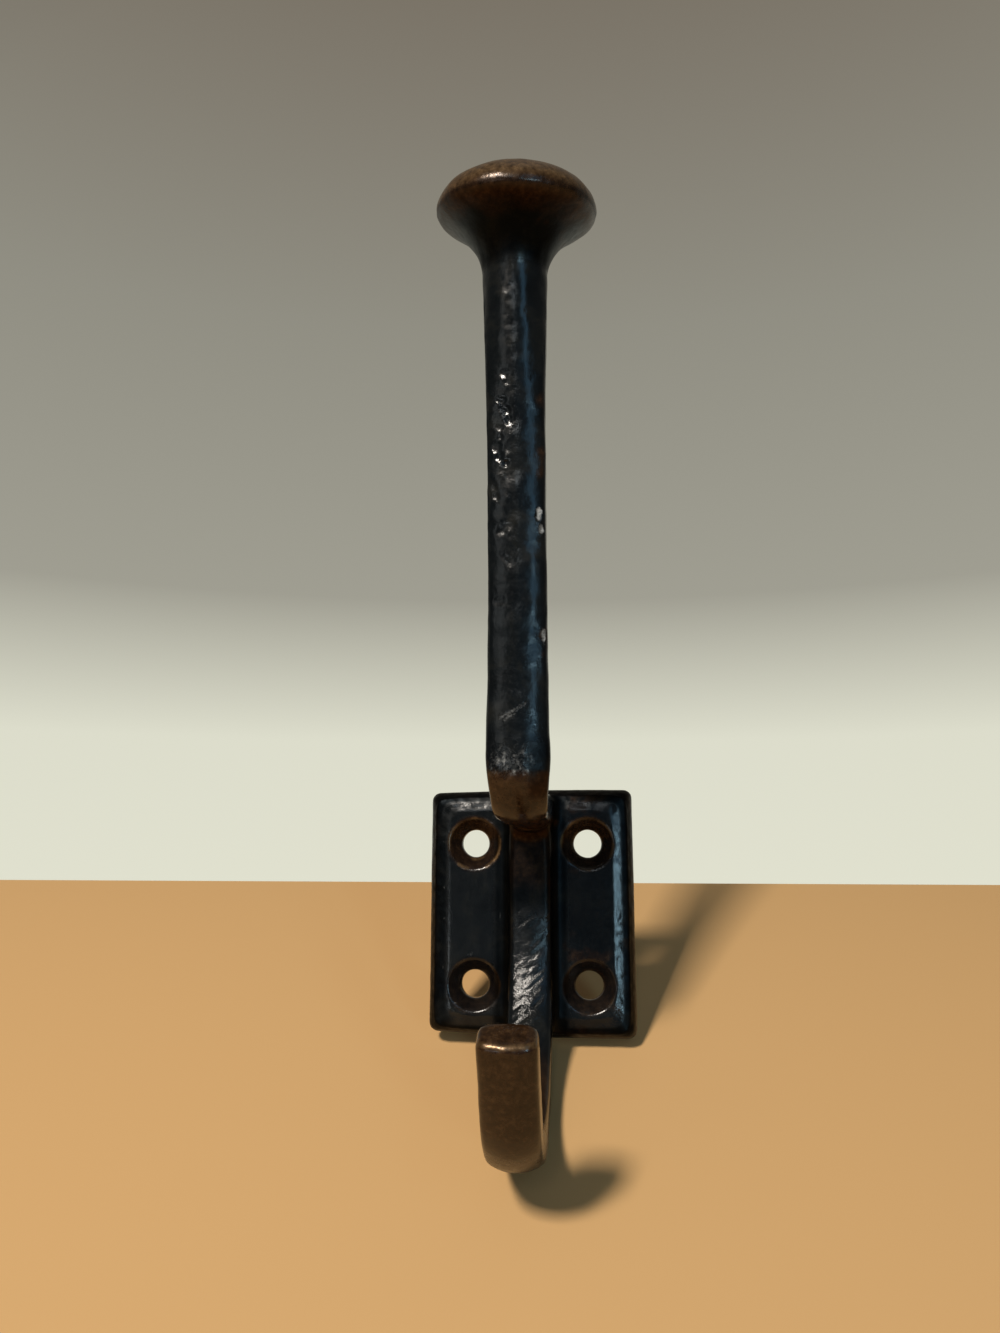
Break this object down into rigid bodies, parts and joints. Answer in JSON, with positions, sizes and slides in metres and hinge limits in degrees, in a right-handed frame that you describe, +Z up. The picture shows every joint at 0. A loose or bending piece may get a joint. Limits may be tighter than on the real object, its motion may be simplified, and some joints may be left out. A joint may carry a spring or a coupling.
{
  "type": "wall hook",
  "caption": "Cast metal hat and coat hook with a flat screw-on plate, a long upper arm that ends in a mushroom knob, and a short curled lower hook.",
  "frame": {"origin": "centre of the plate's back face, where it bears on the wall", "axes": "+Y points into the wall, square to the plate's back face; +Z is up, the way the upper arm rises; +X is to the right of someone facing the wall"},
  "size_m": [0.038, 0.0601, 0.1529],
  "materials": {
    "lacquered_casting": "glossy black lacquer over a bronze-brown coat, worn thin on the edges"
  },
  "bodies": {
    "root": {"coat_hook": "lacquered_casting"}
  },
  "joints": []
}
